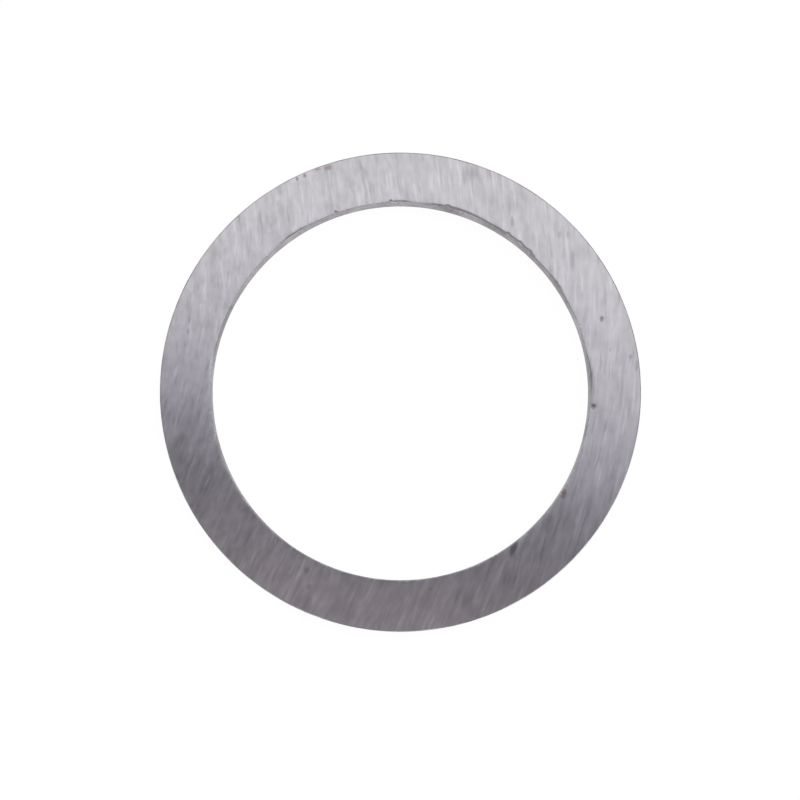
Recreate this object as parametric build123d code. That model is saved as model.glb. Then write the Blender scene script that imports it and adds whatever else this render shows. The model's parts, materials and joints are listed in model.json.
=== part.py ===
from build123d import *
import os

# Shim ring: one flat, ground steel ring that takes up end play beside a bearing or gear
# on a shaft. Millimetres, +Z up. The ring lies flat, as it comes to rest: its lower face
# is on z = 0 and its axis is the Z axis, so the origin is the centre of the bore at the
# lower face.

os.makedirs("parts", exist_ok=True)

# ---- driving dimensions ------------------------------------------------------------------
# The 37 x 47 x 2.5 size of a standard shim ring. The bore slips over a 37 shaft, and the
# ring's width makes the outside, 47, slip into a 47 housing.
BORE_DIAMETER = 37.0
RING_WIDTH = 5.0
THICKNESS = 2.5
# Radius left on the bore's two edges, which were deburred by hand tool, and on the
# outside's two edges, which were only tumbled.
BORE_EDGE_RADIUS = 0.15
OUTSIDE_EDGE_RADIUS = 0.1

# ---- the section, worked out from them ----------------------------------------------------
MEAN_RADIUS = (BORE_DIAMETER + RING_WIDTH) / 2
# Two rounded edges share each side of the section, so neither passes this share of it.
LARGEST_SHARE = 0.4
LARGEST_EDGE_RADIUS = LARGEST_SHARE * min(RING_WIDTH, THICKNESS)


def ring_section():
    """The ring's section in the XZ plane: a rectangle with its four corners rounded."""
    with BuildSketch(Plane.XZ) as section:
        with Locations((MEAN_RADIUS, THICKNESS / 2)):
            Rectangle(RING_WIDTH, THICKNESS)
        corners = section.vertices().group_by(Axis.X)
        fillet(corners[0], min(BORE_EDGE_RADIUS, LARGEST_EDGE_RADIUS))
        fillet(corners[-1], min(OUTSIDE_EDGE_RADIUS, LARGEST_EDGE_RADIUS))
    return section.sketch


def shim_ring():
    """One full turn of the section about the shaft's axis."""
    with BuildPart() as ring:
        add(ring_section())
        revolve(axis=Axis.Z, revolution_arc=360)
    ring.part.label = "shim_ring"
    return ring.part


export_step(shim_ring(), "parts/shim_ring.step")
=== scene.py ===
"""Shim ring: a flat, ground steel ring on a white studio floor."""
import json
import math

import bpy
from mathutils import Matrix, Vector, noise


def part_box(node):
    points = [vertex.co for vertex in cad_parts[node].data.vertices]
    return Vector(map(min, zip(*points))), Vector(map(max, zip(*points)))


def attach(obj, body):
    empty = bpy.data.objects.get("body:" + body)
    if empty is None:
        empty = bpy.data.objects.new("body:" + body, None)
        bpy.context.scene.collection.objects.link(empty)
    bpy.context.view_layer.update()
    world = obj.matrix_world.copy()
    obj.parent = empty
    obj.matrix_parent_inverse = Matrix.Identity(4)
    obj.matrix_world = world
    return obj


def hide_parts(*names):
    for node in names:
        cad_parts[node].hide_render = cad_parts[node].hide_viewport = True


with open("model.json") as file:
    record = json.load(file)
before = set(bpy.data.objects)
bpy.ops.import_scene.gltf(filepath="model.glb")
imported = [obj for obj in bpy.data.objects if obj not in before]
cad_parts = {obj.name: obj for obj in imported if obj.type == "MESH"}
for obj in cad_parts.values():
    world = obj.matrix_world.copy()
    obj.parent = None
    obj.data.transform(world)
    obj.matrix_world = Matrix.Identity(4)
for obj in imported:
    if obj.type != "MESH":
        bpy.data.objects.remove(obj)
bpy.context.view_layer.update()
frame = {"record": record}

# ---- sizes, in metres, from the frame ------------------------------------------------------
MM = 0.001
RING_LOW, RING_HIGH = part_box("shim_ring")
MOUNTS = {mount["name"]: mount for mount in frame["record"]["mounts"]}
BORE_RADIUS = MOUNTS["bore"]["dims"]["r_mm"] * MM
RIM_RADIUS = MOUNTS["rim"]["dims"]["r_mm"] * MM
THICKNESS = RING_HIGH.z - RING_LOW.z
BORE_EDGE = (THICKNESS - MOUNTS["bore"]["dims"]["length_mm"] * MM) / 2
RIM_EDGE = (THICKNESS - MOUNTS["rim"]["dims"]["length_mm"] * MM) / 2
# Grinding the upper face took off part of the bore's rounding there, and left this share of it.
GROUND_EDGE_SHARE = 0.5
GROUND_BORE_EDGE = BORE_EDGE * GROUND_EDGE_SHARE

# ---- the grinding ---------------------------------------------------------------------------
# The grinding wheel swept in arcs about a point off to the ring's left, in the ring's frame.
GRIND_CENTRE = Vector((-71.7, 11.1, 0)) * MM


def on_ring(angle_deg, radius_mm):
    """The place on the ring at that angle from +X and that distance from the axis."""
    angle = math.radians(angle_deg)
    return Vector((math.cos(angle), math.sin(angle), 0)) * radius_mm * MM


# ---- marks on the upper face: angle from +X, radius, size, all in degrees and millimetres ----
# Small open pits, which are dents in the mesh: angle, radius, width.
PITS = [
    (19.5, 20.9, 0.40),
    (8.0, 22.7, 0.25),
    (-5.0, 18.9, 0.40),
    (242.5, 19.7, 0.30),
]
# A pit's depth, and how far from its middle it reaches, as shares of its width.
PIT_DEPTH_SHARE = 0.025
PIT_REACH = 1.5
# Marks in the colour: angle, radius, width across the grinding, length along it, strength.
DARK_MARKS = [
    (19.5, 20.9, 0.42, 0.45, 0.60),
    (11.0, 20.9, 0.25, 0.35, 0.25),
    (8.0, 22.7, 0.30, 0.60, 0.30),
    (-5.0, 18.9, 0.45, 0.50, 0.65),
    (3.0, 18.7, 0.30, 2.00, 0.35),
    (56.5, 19.9, 0.30, 1.00, 0.35),
    (44.5, 21.9, 0.50, 0.60, 0.20),
    (43.0, 22.5, 0.40, 0.60, 0.20),
    (114.0, 23.2, 0.35, 0.45, 0.60),
    (116.0, 23.2, 0.35, 0.40, 0.50),
    (133.0, 23.3, 0.30, 2.20, 0.30),
    (-54.5, 18.9, 0.60, 1.50, 0.65),
    (161.5, 21.8, 0.25, 0.90, 0.30),
    (164.5, 21.6, 0.25, 0.70, 0.25),
    (242.5, 19.7, 0.45, 0.70, 0.35),
    (245.0, 21.1, 0.45, 0.70, 0.30),
]
RUST_MARKS = [
    (108.0, 23.1, 0.80, 0.60, 0.55),
    (110.5, 23.3, 0.60, 0.40, 0.40),
    (6.0, 23.2, 0.40, 0.90, 0.35),
    (-32.5, 18.8, 0.50, 0.80, 0.65),
    (-81.5, 19.6, 0.35, 0.40, 0.25),
]
PALE_MARKS = [
    (122.5, 22.5, 0.45, 0.95, 0.45),
    (-52.5, 19.0, 0.22, 1.60, 0.50),
]
# Nicks in the bore's upper edge: angle, width, and how far each bites outward into the face.
NICKS = [
    (75.5, 0.30, 0.17),
    (93.0, 0.26, 0.09),
    (110.0, 0.25, 0.12),
    (55.5, 0.35, 0.09),
    (51.0, 0.30, 0.08),
    (47.0, 0.50, 0.06),
]

# Longer stretches where the bore's upper edge is worn back: angle, length, and how far.
WORN_STRETCHES = [
    (4.5, 3.5, 0.07),
    (52.0, 4.0, 0.07),
    (71.0, 5.5, 0.10),
    (90.5, 2.2, 0.05),
    (124.0, 3.5, 0.05),
    (34.0, 2.5, 0.04),
]

# ---- the mesh -------------------------------------------------------------------------------
SEGMENTS = 1440
EDGE_STEPS = 8
LOWER_EDGE_STEPS = 4
UPPER_FACE_STEPS = 26
LOWER_FACE_STEPS = 3
WALL_STEPS = 5
# A thin band beside each rounded edge keeps the flat face's shading flat.
SHADING_BAND = 0.01 * MM
# The bore's upper edge wanders by about this much all the way round.
EDGE_WANDER = 0.022 * MM
WANDER_PITCH = 9
# The wander's noise: how smooth it is, the step between its octaves, and their number.
WANDER_NOISE = (0.7, 2.1, 4)
# Finer chatter is added to it in places, and this is how strong it is beside the wander.
CHATTER_PITCH = 60
CHATTER_SHARE = 1.4
# How far the wear reaches across the face and down the bore, and how much it lowers the face.
WEAR_ACROSS = 1.7 * BORE_EDGE
WEAR_DOWN = 3 * BORE_EDGE
WEAR_DROP = 0.35


def rounded_edge(centre_r, centre_z, radius, start_deg, end_deg, steps):
    """Points of the section along a rounded edge, both ends included."""
    points = []
    for step in range(steps + 1):
        angle = math.radians(start_deg + (end_deg - start_deg) * step / steps)
        points.append((centre_r + radius * math.cos(angle), centre_z + radius * math.sin(angle)))
    return points


def between(first, last, steps):
    """Evenly spaced points of the section strictly between two of its points."""
    return [
        (
            first[0] + (last[0] - first[0]) * step / steps,
            first[1] + (last[1] - first[1]) * step / steps,
        )
        for step in range(1, steps)
    ]


def face_between(first, last, steps):
    """Points across a flat face, with a thin band at each end."""
    direction = 1 if last[0] > first[0] else -1
    start = (first[0] + direction * SHADING_BAND, first[1])
    end = (last[0] - direction * SHADING_BAND, last[1])
    return [start] + between(start, end, steps) + [end]


def ring_section():
    """The closed section as (part, r, z), from the bore's wall up, out, down and back in."""
    low, high = RING_LOW.z, RING_HIGH.z
    bore_in, rim_out = BORE_RADIUS + BORE_EDGE, RIM_RADIUS - RIM_EDGE
    corner = GROUND_BORE_EDGE
    bore_top = rounded_edge(BORE_RADIUS + corner, high - corner, corner, 180, 90, EDGE_STEPS)
    rim_top = rounded_edge(rim_out, high - RIM_EDGE, RIM_EDGE, 90, 0, EDGE_STEPS)
    rim_low = rounded_edge(rim_out, low + RIM_EDGE, RIM_EDGE, 0, -90, LOWER_EDGE_STEPS)
    bore_low = rounded_edge(bore_in, low + BORE_EDGE, BORE_EDGE, 270, 180, LOWER_EDGE_STEPS)
    parts = [
        ("upper", bore_top),
        ("upper", face_between(bore_top[-1], rim_top[0], UPPER_FACE_STEPS)),
        ("upper", rim_top),
        ("rim", between(rim_top[-1], rim_low[0], WALL_STEPS)),
        ("lower", rim_low),
        ("lower", face_between(rim_low[-1], bore_low[0], LOWER_FACE_STEPS)),
        ("lower", bore_low),
        ("bore", between(bore_low[-1], bore_top[0], WALL_STEPS)),
    ]
    return [(part, r, z) for part, points in parts for r, z in points]


def bump_at(offset, width):
    """A smooth hump, 1 at its middle and near 0 one width away."""
    return math.exp(-((2 * offset / width) ** 2))


def bore_edge_loss(angle):
    """How far the bore's upper edge has gone outward at this angle, in metres."""
    place = Vector((math.cos(angle), math.sin(angle), 0))
    wander = noise.fractal(place * WANDER_PITCH, *WANDER_NOISE) * 0.5 + 0.5
    chatter = max(0.0, noise.noise(place * CHATTER_PITCH)) ** 2
    loss = EDGE_WANDER * (wander + CHATTER_SHARE * chatter)
    for nick_angle, width, depth in NICKS + WORN_STRETCHES:
        turn = math.remainder(angle - math.radians(nick_angle), 2 * math.pi)
        loss += depth * MM * bump_at(turn * BORE_RADIUS, width * MM)
    return loss


def worn(place, angle, part, r, z, loss):
    """The place of a mesh point after the bore edge's wear and the pits."""
    if part not in ("upper", "bore"):
        return place
    beside = max(0.0, 1 - (r - BORE_RADIUS) / WEAR_ACROSS)
    below = max(0.0, 1 - (RING_HIGH.z - z) / WEAR_DOWN)
    outward = loss * beside * below
    moved = Vector((math.cos(angle) * (r + outward), math.sin(angle) * (r + outward), z))
    moved.z -= WEAR_DROP * loss * beside ** 2 * below
    if part == "upper":
        for pit_angle, pit_radius, width in PITS:
            offset = (moved.xy - on_ring(pit_angle, pit_radius).xy).length
            if offset < PIT_REACH * width * MM:
                moved.z -= PIT_DEPTH_SHARE * width * MM * bump_at(offset, width * MM)
    return moved


# ---- where each part of the surface lies on the ring's own texture sheet ----------------------
# Each face is a disc in the sheet's upper half, and this wide.
DISC_WIDTH = 0.49
SHEET_PER_METRE = DISC_WIDTH / (2 * (RIM_RADIUS + RIM_EDGE))
UPPER_SHEET = Vector((0.25, 0.75))
LOWER_SHEET = Vector((0.75, 0.75))
# Each wall is two strips in the lower half: how high the first lies, and the second's drop.
WALL_SHEET = {"bore": 0.40, "rim": 0.20}
HALF_TURN_DROP = 0.08
STRIP_START = 0.02


def sheet_place(part, developed_r, angle, height, half):
    """Texture coordinates: the two faces as discs, each wall as two straight half turns."""
    if part in ("upper", "lower"):
        spot = Vector((math.cos(angle), math.sin(angle))) * developed_r * SHEET_PER_METRE
        return (UPPER_SHEET if part == "upper" else LOWER_SHEET) + spot
    radius = BORE_RADIUS if part == "bore" else RIM_RADIUS
    along = (angle - math.pi * half) * radius * SHEET_PER_METRE
    up = WALL_SHEET[part] - half * HALF_TURN_DROP + height * SHEET_PER_METRE
    return Vector((STRIP_START + along, up))


def developed_radii(section):
    """Each section point's distance from the axis with its rounded edges laid out flat."""
    middle = (BORE_RADIUS + RIM_RADIUS) / 2
    radii = {}
    for part in ("upper", "lower"):
        indices = [i for i, point in enumerate(section) if point[0] == part]
        start = min(indices, key=lambda i: abs(section[i][1] - middle))
        radii[start] = section[start][1]
        for step in (1, -1):
            index, outward = start, (1 if part == "upper" else -1) * step
            while 0 <= index + step < len(section) and section[index + step][0] == part:
                here, there = section[index], section[index + step]
                gap = math.hypot(there[1] - here[1], there[2] - here[2])
                radii[index + step] = radii[index] + outward * gap
                index += step
    return radii


# The ring's two material slots.
GROUND_SLOT, WALL_SLOT = 0, 1


def ring_mesh():
    """The ring, one closed mesh: its section carried round, with the wear and the pits."""
    section = ring_section()
    count = len(section)
    flat_r = developed_radii(section)
    points = []
    for segment in range(SEGMENTS):
        angle = 2 * math.pi * segment / SEGMENTS
        loss = bore_edge_loss(angle)
        for part, r, z in section:
            place = Vector((math.cos(angle) * r, math.sin(angle) * r, z))
            points.append(worn(place, angle, part, r, z, loss))
    faces, places, materials = [], [], []
    for segment in range(SEGMENTS):
        onward = (segment + 1) % SEGMENTS
        angles = (2 * math.pi * segment / SEGMENTS, 2 * math.pi * (segment + 1) / SEGMENTS)
        half = 0 if segment < SEGMENTS / 2 else 1
        for index in range(count):
            beyond = (index + 1) % count
            faces.append(
                (
                    segment * count + index,
                    segment * count + beyond,
                    onward * count + beyond,
                    onward * count + index,
                )
            )
            part = section[index][0] if section[index][0] == section[beyond][0] else None
            if part is None:
                part = next(p for p in (section[index][0], section[beyond][0]) if p in WALL_SHEET)
            on_face = section[index][2] == section[beyond][2]
            materials.append(GROUND_SLOT if on_face else WALL_SLOT)
            for angle, corner in (
                (angles[0], index),
                (angles[0], beyond),
                (angles[1], beyond),
                (angles[1], index),
            ):
                _, r, z = section[corner]
                places.append(sheet_place(part, flat_r.get(corner, r), angle, z, half))
    mesh = bpy.data.meshes.new("ring")
    mesh.from_pydata(points, [], faces)
    sheet = mesh.uv_layers.new(name="OFBake")
    sheet.data.foreach_set("uv", [value for place in places for value in place])
    mesh.polygons.foreach_set("material_index", materials)
    mesh.shade_smooth()
    return mesh


# ---- materials ------------------------------------------------------------------------------
class Tree:
    """Adds nodes to one node tree. A socket, a number or a colour can feed any input."""

    def __init__(self, owner):
        owner.use_nodes = True
        self.tree = owner.node_tree
        self.tree.nodes.clear()

    def node(self, kind, settings=None, **inputs):
        node = self.tree.nodes.new(kind)
        for name, value in (settings or {}).items():
            setattr(node, name, value)
        for name, value in inputs.items():
            self.feed(node.inputs[name.replace("_", " ")], value)
        return node

    def feed(self, socket, value):
        if isinstance(value, bpy.types.NodeSocket):
            self.tree.links.new(value, socket)
        else:
            socket.default_value = value

    def math(self, operation, first, second=0.0, third=0.0):
        node = self.tree.nodes.new("ShaderNodeMath")
        node.operation = operation
        for socket, value in zip(node.inputs, (first, second, third)):
            self.feed(socket, value)
        return node.outputs[0]

    def vector(self, operation, first, second=(0, 0, 0)):
        node = self.tree.nodes.new("ShaderNodeVectorMath")
        node.operation = operation
        self.feed(node.inputs[0], first)
        self.feed(node.inputs[1], second)
        return node.outputs["Value" if operation in ("LENGTH", "DOT_PRODUCT") else "Vector"]

    def rise(self, value, low, high, start=0.0, end=1.0):
        """start where value is at low, end where it is at high, and smooth between."""
        node = self.node("ShaderNodeMapRange", {"interpolation_type": "SMOOTHSTEP"}, Value=value)
        limits = {"From Min": low, "From Max": high, "To Min": start, "To Max": end}
        for name, number in limits.items():
            node.inputs[name].default_value = number
        return node.outputs[0]

    def noise(self, vector, detail=2.0):
        node = self.node("ShaderNodeTexNoise", Vector=vector, Scale=1.0)
        node.inputs["Detail"].default_value = detail
        return node.outputs["Fac"]

    def mix(self, share, first, second):
        node = self.tree.nodes.new("ShaderNodeMix")
        node.data_type = "RGBA"
        self.feed(node.inputs[0], share)
        colours = {socket.identifier: socket for socket in node.inputs}
        self.feed(colours["A_Color"], first)
        self.feed(colours["B_Color"], second)
        return next(o for o in node.outputs if o.identifier == "Result_Color")

    def scaled(self, colour, factor):
        """A colour made lighter or darker by a factor."""
        node = self.node("ShaderNodeCombineXYZ", X=factor, Y=factor, Z=factor)
        return self.vector("MULTIPLY", colour, node.outputs[0])


STEEL = (0.575, 0.555, 0.592)
SOOT = (0.17, 0.16, 0.175)
RUST = (0.25, 0.17, 0.15)
PALE = (0.74, 0.73, 0.75)
ANISOTROPY = 0.7
GROUND_ROUGHNESS = 0.14
GROUND_ROUGHNESS_SPREAD = 0.06
RELIEF_HEIGHT = 0.0006 * MM
# How much of the relief the long and the short grinding marks make.
LONG_RELIEF = 0.55
SHORT_RELIEF = 0.45
# How far, in millimetres, a grinding mark strays from its arc.
MARK_WANDER = 0.22
# The grinding marks: width and length in millimetres, the number of the layer, and its detail.
LONG_MARKS = (0.50, 9, 1, 1.0)
SHORT_MARKS = (0.48, 1.5, 2, 1.0)
WIDE_MARKS = (1.0, 16, 3, 1.0)
GRAIN = (0.11, 0.35, 4, 0.0)
BRIGHT_SCRATCHES = (0.27, 2.6, 5, 0.0)
DARK_SCRATCHES = (0.34, 2.6, 6, 0.0)
# How much each makes the steel lighter or darker.
LONG_TONE = 0.24
SHORT_TONE = 0.36
WIDE_TONE = 0.24
GRAIN_TONE = 0.07
MOTTLING_TONE = 0.30
BRIGHT_TONE = 0.14
DARK_TONE = -0.13
# A scratch shows where its noise is above the first value, and fully above the second.
SCRATCH_NOISE = (0.60, 0.80)
# Keeps the layers' noise apart.
LAYER_STEP = 7.31
MOTTLING_PER_METRE = 620
RAGGED_PER_METRE = 3500
# How unevenly a mark's outline runs, and where it starts to fade and ends.
RAGGEDNESS = 0.9
MARK_FADE = (0.1, 1.7)


def grinding_coordinates(t):
    """(distance from the grinding centre, distance along the arc), both in millimetres."""
    place = t.node("ShaderNodeTexCoord").outputs["Object"]
    from_centre = t.vector("SUBTRACT", place, tuple(GRIND_CENTRE))
    split = t.node("ShaderNodeSeparateXYZ", Vector=from_centre).outputs
    flat = t.node("ShaderNodeCombineXYZ", X=split["X"], Y=split["Y"]).outputs[0]
    across = t.math("MULTIPLY", t.vector("LENGTH", flat), 1 / MM)
    turn = t.math("ARCTAN2", split["Y"], split["X"])
    along = t.math("MULTIPLY", turn, -GRIND_CENTRE.x / MM)
    return place, split, across, along


def streaks(t, across, along, width_mm, length_mm, layer, detail):
    """Noise drawn out along the grinding arcs, about 0.5 on average."""
    vector = t.node(
        "ShaderNodeCombineXYZ",
        X=t.math("DIVIDE", across, width_mm),
        Y=t.math("DIVIDE", along, length_mm),
        Z=layer * LAYER_STEP,
    ).outputs[0]
    return t.noise(vector, detail)


def grinding_place(angle_deg, radius_mm):
    """A place on the ring as (distance from the grinding centre, distance along), in mm."""
    from_centre = on_ring(angle_deg, radius_mm) - GRIND_CENTRE
    turn = math.atan2(from_centre.y, from_centre.x)
    return from_centre.length / MM, turn * -GRIND_CENTRE.x / MM


def marks_share(t, across, along, ragged, marks):
    """How far the marks cover the steel, from 0 to 1: each is a ragged patch along the arcs."""
    covered = None
    for angle, radius, width, length, strength in marks:
        middle_across, middle_along = grinding_place(angle, radius)
        aside = t.math("DIVIDE", t.math("SUBTRACT", across, middle_across), width / 2)
        onward = t.math("DIVIDE", t.math("SUBTRACT", along, middle_along), length / 2)
        reach = t.math("MULTIPLY_ADD", onward, onward, t.math("MULTIPLY", aside, aside))
        reach = t.math("MULTIPLY_ADD", ragged, RAGGEDNESS, reach)
        share = t.rise(reach, *MARK_FADE, strength, 0.0)
        covered = share if covered is None else t.math("MAXIMUM", covered, share)
    return covered


def varied(t, value, pattern, share):
    """The value, raised where the pattern is above 0.5 and lowered where it is below."""
    return t.math("MULTIPLY_ADD", t.math("SUBTRACT", pattern, 0.5), share, value)


def ground_steel():
    """The two faces: bright steel with the marks of the grinding wheel, and what wear has left."""
    material = bpy.data.materials.new("ground_steel")
    t = Tree(material)
    place, split, across, along = grinding_coordinates(t)
    mottling = t.noise(t.vector("MULTIPLY", place, (MOTTLING_PER_METRE,) * 3))
    strayed = t.math("MULTIPLY_ADD", mottling, MARK_WANDER, across)
    long_marks = streaks(t, strayed, along, *LONG_MARKS)
    short_marks = streaks(t, strayed, along, *SHORT_MARKS)
    tone = varied(t, 1.0, long_marks, LONG_TONE)
    tone = varied(t, tone, short_marks, SHORT_TONE)
    tone = varied(t, tone, streaks(t, strayed, along, *WIDE_MARKS), WIDE_TONE)
    tone = varied(t, tone, streaks(t, strayed, along, *GRAIN), GRAIN_TONE)
    tone = varied(t, tone, mottling, MOTTLING_TONE)
    for scratches, share in ((BRIGHT_SCRATCHES, BRIGHT_TONE), (DARK_SCRATCHES, DARK_TONE)):
        scratched = t.rise(streaks(t, strayed, along, *scratches), *SCRATCH_NOISE)
        tone = t.math("MULTIPLY_ADD", scratched, share, tone)
    colour = t.scaled(STEEL, tone)
    ragged = t.noise(t.vector("MULTIPLY", place, (RAGGED_PER_METRE,) * 3))
    ragged = t.math("SUBTRACT", ragged, 0.5)
    for tint, marks in ((SOOT, DARK_MARKS), (RUST, RUST_MARKS), (PALE, PALE_MARKS)):
        share = marks_share(t, across, along, ragged, marks)
        colour = t.mix(share, colour, (*tint, 1))
    relief = t.math("MULTIPLY", short_marks, SHORT_RELIEF)
    relief = t.math("MULTIPLY_ADD", long_marks, LONG_RELIEF, relief)
    roughness = varied(t, GROUND_ROUGHNESS, relief, GROUND_ROUGHNESS_SPREAD)
    bump = t.node("ShaderNodeBump", Strength=1.0, Distance=RELIEF_HEIGHT, Height=relief)
    # Light spreads across the grinding marks, straight away from their centre.
    tangent = t.node("ShaderNodeCombineXYZ", X=split["X"], Y=split["Y"]).outputs[0]
    shader = t.node(
        "ShaderNodeBsdfPrincipled",
        Metallic=1.0,
        Base_Color=colour,
        Roughness=roughness,
        Anisotropic=ANISOTROPY,
        Normal=bump.outputs[0],
        Tangent=t.vector("NORMALIZE", tangent),
    )
    t.node("ShaderNodeOutputMaterial", Surface=shader.outputs[0])
    return material


# The walls are painted darker than the faces, partly for their duller turned steel and partly as
# painted shade for the shadowed floor that they reflect; their rounded edges are painted lighter
# than the walls, a painted highlight for the light that the edges catch.
WALL_TURNED_STEEL_AND_PAINTED_SHADE = (0.42, 0.405, 0.423)
PAINTED_EDGE_HIGHLIGHT = (0.60, 0.58, 0.61)
# How far the surface leans up or down, as the height of its normal, where the edge and its painted
# highlight start and where it is all edge.
EDGE_LEAN = (0.05, 0.45)
# Both patterns are drawn out up and down the wall.
FINE_PER_METRE = (2600, 2600, 900)
BROAD_PER_METRE = (330, 330, 120)
FINE_DETAIL = 3.0
FINE_TONE = 0.7
BROAD_TONE = 1.6
WALL_ROUGHNESS = 0.56
WALL_ROUGHNESS_SPREAD = 0.2
WALL_RELIEF_HEIGHT = 0.012 * MM


def wall_steel():
    """The bore, the rim and the rounded edges: rougher than the ground faces, and darker, partly
    as painted shade, with a painted highlight on the rounded edges.
    """
    material = bpy.data.materials.new("wall_steel_with_painted_shade_and_highlight")
    t = Tree(material)
    place = t.node("ShaderNodeTexCoord").outputs["Object"]
    fine = t.noise(t.vector("MULTIPLY", place, FINE_PER_METRE), FINE_DETAIL)
    broad = t.noise(t.vector("MULTIPLY", place, BROAD_PER_METRE))
    tone = varied(t, varied(t, 1.0, fine, FINE_TONE), broad, BROAD_TONE)
    normal = t.node("ShaderNodeNewGeometry").outputs["Normal"]
    lean = t.math("ABSOLUTE", t.node("ShaderNodeSeparateXYZ", Vector=normal).outputs["Z"])
    # A painted highlight: the rounded edges get a lighter colour, mixed in by how far the surface
    # leans.
    edge_highlight_share = t.rise(lean, *EDGE_LEAN)
    colour = t.scaled(t.mix(edge_highlight_share, (*WALL_TURNED_STEEL_AND_PAINTED_SHADE, 1), (*PAINTED_EDGE_HIGHLIGHT, 1)), tone)
    roughness = t.math("MULTIPLY_ADD", broad, WALL_ROUGHNESS_SPREAD, WALL_ROUGHNESS)
    bump = t.node("ShaderNodeBump", Strength=1.0, Distance=WALL_RELIEF_HEIGHT, Height=fine)
    shader = t.node(
        "ShaderNodeBsdfPrincipled",
        Metallic=1.0,
        Base_Color=colour,
        Roughness=roughness,
        Normal=bump.outputs[0],
    )
    t.node("ShaderNodeOutputMaterial", Surface=shader.outputs[0])
    return material


# ---- the studio -----------------------------------------------------------------------------
def seen_directly(t):
    """1 for what the camera sees, straight, in a reflection or through glass, otherwise 0."""
    path = t.node("ShaderNodeLightPath").outputs
    share = t.math("MAXIMUM", path["Is Camera Ray"], path["Is Glossy Ray"])
    return t.math("MAXIMUM", share, path["Is Transmission Ray"])


WHITE = (1, 1, 1, 1)
FLOOR_SIZE = 1.6
FLOOR_GAP = 0.01 * MM
# How much of the floor is lit like any other surface, and so shows the ring's shadow.
SHADOW_SHARE = 0.15
# Makes up for the lit share of the floor, which is a little under white.
FLOOR_WHITE = 1.11


def studio_floor():
    """A white floor that shows the ring's soft contact shadow only faintly."""
    material = bpy.data.materials.new("white_floor")
    t = Tree(material)
    lit = t.node("ShaderNodeBsdfDiffuse", Color=WHITE).outputs[0]
    white = t.node("ShaderNodeEmission", Color=WHITE, Strength=FLOOR_WHITE).outputs[0]
    shown = t.tree.nodes.new("ShaderNodeMixShader")
    t.feed(shown.inputs[0], t.math("MULTIPLY", seen_directly(t), 1 - SHADOW_SHARE))
    t.feed(shown.inputs[1], lit)
    t.feed(shown.inputs[2], white)
    t.node("ShaderNodeOutputMaterial", Surface=shown.outputs[0])
    half = FLOOR_SIZE / 2
    mesh = bpy.data.meshes.new("floor")
    corners = [(-half, -half), (half, -half), (half, half), (-half, half)]
    mesh.from_pydata([(x, y, RING_LOW.z - FLOOR_GAP) for x, y in corners], [], [(0, 1, 2, 3)])
    mesh.materials.append(material)
    floor = bpy.data.objects.new("floor", mesh)
    bpy.context.scene.collection.objects.link(floor)


# Light from the studio's dome: a wide soft box leans over the ring from behind and a little
# to the right, and everything on the camera's side of it is dimmer.
SOFT_BOX_SIDE = (0.20, 0.98, 0.0)
DOME_LEVELS = [  # how far a direction leans to the soft box's side, and the light from there
    (-1.00, (0.42, 0.41, 0.42)),
    (-0.30, (0.38, 0.365, 0.38)),
    (-0.02, (0.43, 0.40, 0.41)),
    (0.042, (0.155, 0.147, 0.165)),
    (0.075, (0.60, 0.60, 0.65)),
    (0.105, (0.85, 0.85, 0.87)),
    (0.16, (1.0, 1.0, 1.0)),
    (0.25, (1.0, 1.0, 1.0)),
    (0.40, (0.60, 0.60, 0.61)),
    (0.65, (0.42, 0.42, 0.43)),
    (1.00, (0.40, 0.40, 0.41)),
]


# Low down, the light comes from the right and behind, and the left and front are dim.
BRIGHT_SIDE = (0.9, 0.44, 0.0)
DIM_SIDE_LEVEL = 0.5
# How far a direction leans to the bright side where it is dim, and from where it is fully lit.
DIM_SIDE = (-0.85, -0.1)
# The background behind the ring is white up to the first height of a direction, and from the
# second up the dome shows instead.
BACKGROUND_FADE = (0.18, 0.35)


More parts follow.
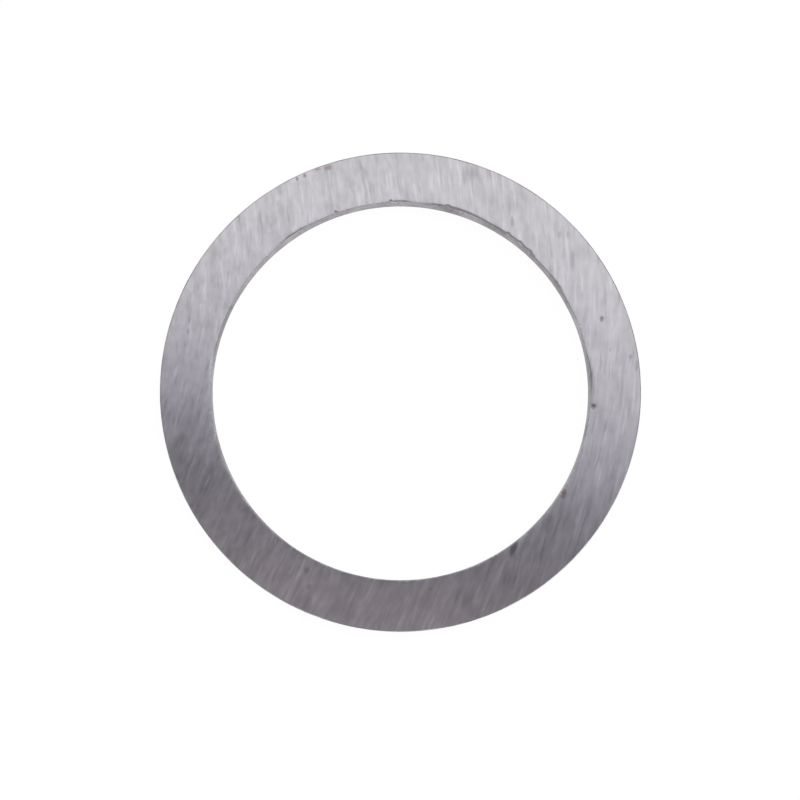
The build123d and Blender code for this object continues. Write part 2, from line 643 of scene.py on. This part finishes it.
def studio_light():
    """The dome that lights the ring, and low down the white background that the camera sees."""
    world = bpy.data.worlds.new("studio")
    bpy.context.scene.world = world
    t = Tree(world)
    direction = t.node("ShaderNodeTexCoord").outputs["Generated"]
    lean = t.vector("DOT_PRODUCT", direction, SOFT_BOX_SIDE)
    ramp = t.node("ShaderNodeValToRGB", Fac=t.math("MULTIPLY_ADD", lean, 0.5, 0.5))
    stops = ramp.color_ramp.elements
    for number, (lean_to, colour) in enumerate(DOME_LEVELS):
        position = 0.5 + 0.5 * lean_to
        if number < len(stops):
            stop = stops[number]
            stop.position = position
        else:
            stop = stops.new(position)
        stop.color = (*colour, 1)
    side = t.vector("DOT_PRODUCT", direction, BRIGHT_SIDE)
    level = t.rise(side, *DIM_SIDE, DIM_SIDE_LEVEL, 1.0)
    colour = t.scaled(ramp.outputs[0], level)
    dome = t.node("ShaderNodeBackground", Color=colour, Strength=1.0).outputs[0]
    white = t.node("ShaderNodeBackground", Color=WHITE, Strength=1.0).outputs[0]
    shown = t.tree.nodes.new("ShaderNodeMixShader")
    height = t.node("ShaderNodeSeparateXYZ", Vector=direction).outputs["Z"]
    low = t.rise(height, *BACKGROUND_FADE, 1.0, 0.0)
    t.feed(shown.inputs[0], t.math("MULTIPLY", seen_directly(t), low))
    t.feed(shown.inputs[1], dome)
    t.feed(shown.inputs[2], white)
    t.node("ShaderNodeOutputWorld", Surface=shown.outputs[0])


CAMERA_DISTANCE = 0.235
CAMERA_LEAN = math.radians(4.9)
CAMERA_SIDE = math.radians(-0.4)
LENS = 108.35
SENSOR = 36
NEAREST_SEEN = 0.01
# Where the camera looks, on the ring's upper face.
AIM = Vector((-0.06, -0.975, 0)) * MM


def studio_camera():
    """Looks down on the ring, a little from its front."""
    target = AIM + Vector((0, 0, RING_HIGH.z))
    away = Vector((math.sin(CAMERA_SIDE), -math.sin(CAMERA_LEAN), math.cos(CAMERA_LEAN)))
    away.normalize()
    data = bpy.data.cameras.new("camera")
    data.lens = LENS
    data.sensor_width = SENSOR
    data.clip_start = NEAREST_SEEN
    camera = bpy.data.objects.new("camera", data)
    camera.location = target + away * CAMERA_DISTANCE
    right = Vector((0, 1, 0)).cross(away).normalized()
    camera.rotation_euler = Matrix((right, away.cross(right), away)).transposed().to_euler()
    bpy.context.scene.collection.objects.link(camera)
    bpy.context.scene.camera = camera


def shim_ring():
    """The ring that stands for the CAD node, with its two materials."""
    mesh = ring_mesh()
    mesh.materials.append(ground_steel())
    mesh.materials.append(wall_steel())
    ring = bpy.data.objects.new("ring", mesh)
    bpy.context.scene.collection.objects.link(ring)
    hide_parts("shim_ring")
    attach(ring, "root")


studio_camera()
studio_light()
studio_floor()
shim_ring()
bpy.context.scene.view_settings.view_transform = "Standard"
